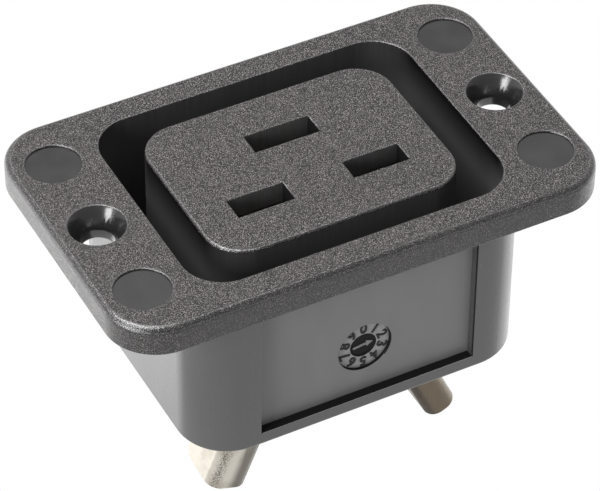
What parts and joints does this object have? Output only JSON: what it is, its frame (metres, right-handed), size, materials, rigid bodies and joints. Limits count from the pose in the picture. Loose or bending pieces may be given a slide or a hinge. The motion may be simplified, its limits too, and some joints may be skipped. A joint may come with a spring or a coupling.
{
  "type": "iec panel socket",
  "caption": "Flanged power outlet for panels: flush island with horizontal blade slots inside a plug groove, countersunk screw holes in the ears, and splayed crimp tails behind.",
  "frame": {"origin": "centre of the panel plane, which is the rear face of the flange, midway between the two screw holes", "axes": "+Z out of the panel towards the plug, +X along the long side from the line slot to the neutral slot, +Y towards the earth slot"},
  "size_m": [0.054, 0.0334, 0.0378],
  "materials": {
    "housing_plastic": "fine spark-eroded grain on the flange and island, satin on the body",
    "cover_plastic": "satin",
    "contact_metal": "dull nickel plating"
  },
  "bodies": {
    "root": {"socket_housing": "housing_plastic", "rear_cover": "cover_plastic", "line_contact": "contact_metal", "neutral_contact": "contact_metal", "earth_contact": "contact_metal"}
  },
  "joints": []
}
